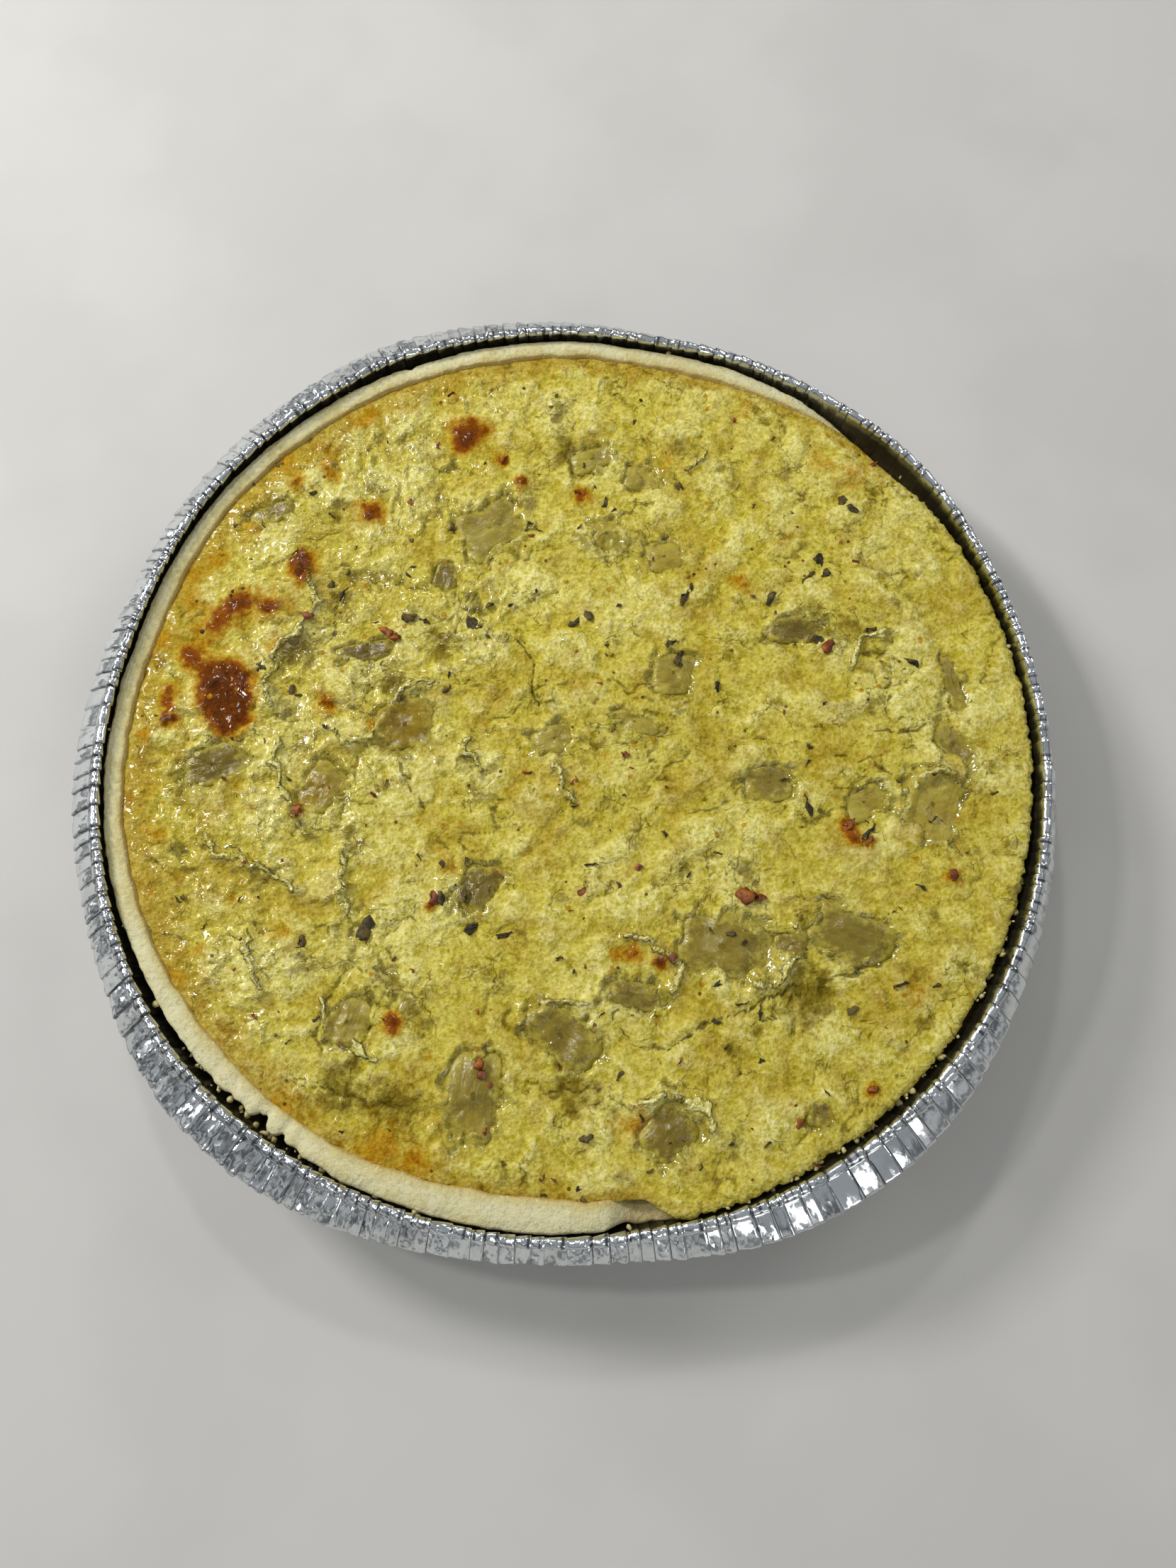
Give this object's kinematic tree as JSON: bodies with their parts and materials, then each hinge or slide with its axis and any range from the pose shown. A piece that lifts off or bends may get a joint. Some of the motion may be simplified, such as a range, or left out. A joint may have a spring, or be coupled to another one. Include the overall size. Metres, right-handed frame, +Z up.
{
  "type": "cheese and onion tart",
  "caption": "Round uncut savoury tart with a browned egg and cheese filling, soft onion and herbs, in its own crimped foil tray.",
  "frame": {"origin": "middle of the foil tray's outline, on its underside", "axes": "+Z up through the filling, -Y towards the side nearest the viewer, where the case's rim ends in a short step"},
  "size_m": [0.1974, 0.1971, 0.0269],
  "materials": {
    "foil": "crumpled thin foil, bright, with fine crimps",
    "pastry": "pale baked shortcrust, matt and slightly mealy",
    "filling": "baked egg and cheese, mottled yellow with browned spots and an oily sheen",
    "onion": "cooked onion, soft, see-through and wet"
  },
  "bodies": {
    "root": {"foil_tray": "foil", "pastry_case": "pastry", "filling": "filling", "onion_piece_01": "onion", "onion_piece_02": "onion", "onion_piece_03": "onion", "onion_piece_04": "onion", "onion_piece_05": "onion", "onion_piece_06": "onion", "onion_piece_07": "onion", "onion_piece_08": "onion", "onion_piece_09": "onion", "onion_piece_10": "onion", "onion_piece_11": "onion", "onion_piece_12": "onion", "onion_piece_13": "onion", "onion_piece_14": "onion", "onion_piece_15": "onion", "onion_piece_16": "onion", "onion_piece_17": "onion", "onion_piece_18": "onion", "onion_piece_19": "onion", "onion_piece_20": "onion", "onion_piece_21": "onion", "onion_piece_22": "onion", "onion_piece_23": "onion", "onion_piece_24": "onion", "onion_piece_25": "onion", "onion_piece_26": "onion", "onion_piece_27": "onion", "onion_piece_28": "onion", "onion_piece_29": "onion", "onion_piece_30": "onion"}
  },
  "joints": []
}
